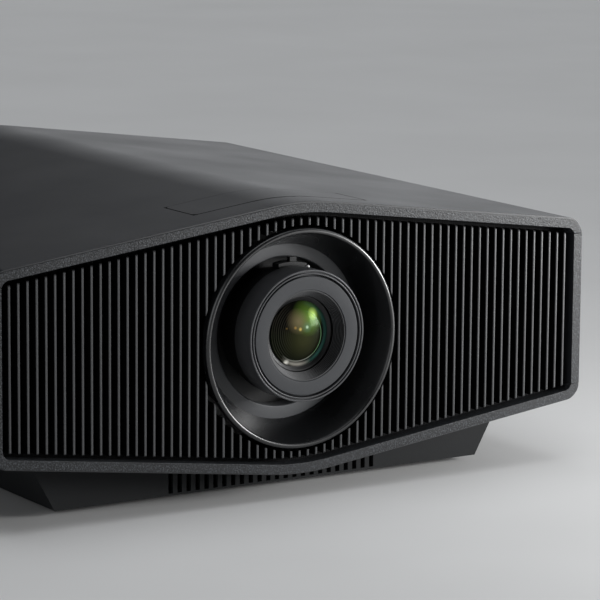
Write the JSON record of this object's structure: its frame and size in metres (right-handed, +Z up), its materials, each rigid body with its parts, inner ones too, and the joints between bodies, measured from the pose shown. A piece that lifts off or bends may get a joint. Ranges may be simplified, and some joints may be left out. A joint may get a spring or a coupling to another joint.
{
  "type": "home cinema projector",
  "caption": "Home cinema projector: wide low casing with a slatted front, a central zoom lens in a round recess, a hinged lid over the lens-shift dials, and adjustable front feet.",
  "frame": {"origin": "under the middle of the object, on the surface it stands on", "axes": "+Y from the lens side to the rear panel, +Z up, +X to the right of a person facing the lens"},
  "size_m": [0.46, 0.472, 0.2],
  "materials": {
    "casing": "fine spark-eroded texture",
    "base": "satin moulded plastic",
    "grille": "satin",
    "mesh": "dull",
    "gloss": "high gloss",
    "anodised": "black anodised",
    "lens_face": "matte grey",
    "optical_glass": "coated glass",
    "cast_metal": "cast",
    "bright_steel": "ground",
    "board": "solder mask",
    "socket": "satin",
    "keys": "satin",
    "rubber_feet": "dull"
  },
  "bodies": {
    "root": {"top_cover": "casing", "lower_case": "casing", "bezel_upper": "casing", "bezel_lower": "casing", "left_side_panel": "casing", "right_side_panel": "casing", "rear_panel": "casing", "base_tray": "base", "base_front_grille": "base", "front_grille": "grille", "grille_screen": "mesh", "lens_surround": "gloss", "light_shield_ring": "base", "lens_mount_frame": "cast_metal", "vertical_guide_rods": "bright_steel", "dial_well": "base", "optical_housing": "cast_metal", "cross_prism": "optical_glass", "imaging_panels": "cast_metal", "laser_module": "cast_metal", "laser_heatsink": "cast_metal", "heat_pipes": "bright_steel", "fan_housings": "base", "power_board": "board", "main_board": "board", "power_inlet": "socket", "terminal_plate": "base", "terminal_sockets": "socket", "rear_feet": "rubber_feet", "base_screws": "bright_steel"},
    "vertical_carriage": {"vertical_shift_frame": "cast_metal", "horizontal_guide_rods": "bright_steel"},
    "lens_carriage": {"horizontal_shift_frame": "cast_metal", "lens_barrel": "anodised", "lens_shroud_disc": "anodised", "lens_front_trim": "lens_face", "lens_baffle": "anodised", "rear_lens": "optical_glass"},
    "focus_grip": {"focus_ring": "anodised"},
    "focus_cell": {"glass_retainer": "anodised", "front_lens": "optical_glass"},
    "zoom_grip": {"zoom_ring": "anodised"},
    "zoom_cell": {"zoom_lens_cell": "anodised", "zoom_lens": "optical_glass"},
    "vertical_dial": {"vertical_shift_dial": "keys"},
    "horizontal_dial": {"horizontal_shift_dial": "keys"},
    "lid": {"lens_shift_lid": "casing"},
    "left_fan": {"left_fan_rotor": "base"},
    "right_fan": {"right_fan_rotor": "base"},
    "colour_wheel": {"phosphor_wheel": "cast_metal"},
    "left_stud": {"left_foot_stud": "bright_steel"},
    "left_wheel": {"left_foot_wheel": "base"},
    "right_stud": {"right_foot_stud": "bright_steel"},
    "right_wheel": {"right_foot_wheel": "base"},
    "power_key": {"power_button": "keys"},
    "input_key": {"input_button": "keys"},
    "menu_key": {"menu_button": "keys"},
    "stick_gimbal": {"joystick_gimbal": "bright_steel"},
    "stick_knob": {"joystick_knob": "keys"}
  },
  "joints": [
    {"name": "vertical_shift", "type": "slide", "parent": "root", "child": "vertical_carriage", "axis": [0, 0, 1], "range_m": [-0.009, 0.005]},
    {"name": "horizontal_shift", "type": "slide", "parent": "vertical_carriage", "child": "lens_carriage", "axis": [1, 0, 0], "range_m": [-0.0059, 0.0059]},
    {"name": "vertical_dial_turn", "type": "hinge", "parent": "root", "child": "vertical_dial", "pos_m": [-0.032, -0.175, 0.188], "axis": [0, 0, 1], "range_deg": [-406, 226]},
    {"name": "horizontal_dial_turn", "type": "hinge", "parent": "root", "child": "horizontal_dial", "pos_m": [0.032, -0.175, 0.188], "axis": [0, 0, 1], "range_deg": [-266.5, 266.5]},
    {"name": "focus_turn", "type": "hinge", "parent": "lens_carriage", "child": "focus_grip", "pos_m": [0, -0.226, 0.1111], "axis": [0, 1, 0], "range_deg": [-60, 60]},
    {"name": "focus_travel", "type": "slide", "parent": "lens_carriage", "child": "focus_cell", "axis": [0, 1, 0], "range_m": [-0.00151, 0.00151]},
    {"name": "zoom_turn", "type": "hinge", "parent": "lens_carriage", "child": "zoom_grip", "pos_m": [0, -0.21, 0.1111], "axis": [0, 1, 0], "range_deg": [-30, 30]},
    {"name": "zoom_travel", "type": "slide", "parent": "lens_carriage", "child": "zoom_cell", "axis": [0, 1, 0], "range_m": [-0.00602, 0.00602]},
    {"name": "lid_hinge", "type": "hinge", "parent": "root", "child": "lid", "pos_m": [0, -0.168, 0.1982], "axis": [-1, 0, 0], "range_deg": [0, 78]},
    {"name": "left_fan_spin", "type": "hinge", "parent": "root", "child": "left_fan", "pos_m": [-0.16, -0.184, 0.1091], "axis": [0, 1, 0], "continuous": true},
    {"name": "right_fan_spin", "type": "hinge", "parent": "root", "child": "right_fan", "pos_m": [0.16, -0.184, 0.1091], "axis": [0, 1, 0], "continuous": true},
    {"name": "colour_wheel_spin", "type": "hinge", "parent": "root", "child": "colour_wheel", "pos_m": [0.034, 0.026, 0.098], "axis": [0, 1, 0], "continuous": true},
    {"name": "left_foot_extend", "type": "slide", "parent": "root", "child": "left_stud", "axis": [0, 0, -1], "range_m": [0, 0.01]},
    {"name": "left_foot_turn", "type": "hinge", "parent": "root", "child": "left_wheel", "pos_m": [-0.13, -0.15, 0.0057], "axis": [0, 0, 1], "range_deg": [-1, 2881]},
    {"name": "right_foot_extend", "type": "slide", "parent": "root", "child": "right_stud", "axis": [0, 0, -1], "range_m": [0, 0.01]},
    {"name": "right_foot_turn", "type": "hinge", "parent": "root", "child": "right_wheel", "pos_m": [0.13, -0.15, 0.0057], "axis": [0, 0, 1], "range_deg": [-1, 2881]},
    {"name": "power_press", "type": "slide", "parent": "root", "child": "power_key", "axis": [1, 0, 0], "range_m": [0, 0.0012], "stiffness_N_per_m": 400, "springref_m": -0.0004},
    {"name": "input_press", "type": "slide", "parent": "root", "child": "input_key", "axis": [1, 0, 0], "range_m": [0, 0.0012], "stiffness_N_per_m": 400, "springref_m": -0.0004},
    {"name": "menu_press", "type": "slide", "parent": "root", "child": "menu_key", "axis": [1, 0, 0], "range_m": [0, 0.0012], "stiffness_N_per_m": 400, "springref_m": -0.0004},
    {"name": "stick_left_right", "type": "hinge", "parent": "root", "child": "stick_gimbal", "pos_m": [-0.222, 0.184, 0.112], "axis": [0, 0, 1], "range_deg": [-8, 8], "stiffness_Nm_per_rad": 0.12},
    {"name": "stick_up_down", "type": "hinge", "parent": "stick_gimbal", "child": "stick_knob", "pos_m": [-0.222, 0.184, 0.112], "axis": [0, 1, 0], "range_deg": [-8, 8], "stiffness_Nm_per_rad": 0.12}
  ],
  "couplings": [
    {"joint": "vertical_dial_turn", "follows": "vertical_shift", "rad_per_m": 785.4},
    {"joint": "horizontal_dial_turn", "follows": "horizontal_shift", "rad_per_m": 785.4},
    {"joint": "focus_travel", "follows": "focus_turn", "m_per_rad": 0.0014324},
    {"joint": "zoom_travel", "follows": "zoom_turn", "m_per_rad": 0.011459},
    {"joint": "left_foot_turn", "follows": "left_foot_extend", "rad_per_m": 5026.6},
    {"joint": "right_foot_turn", "follows": "right_foot_extend", "rad_per_m": 5026.6}
  ]
}
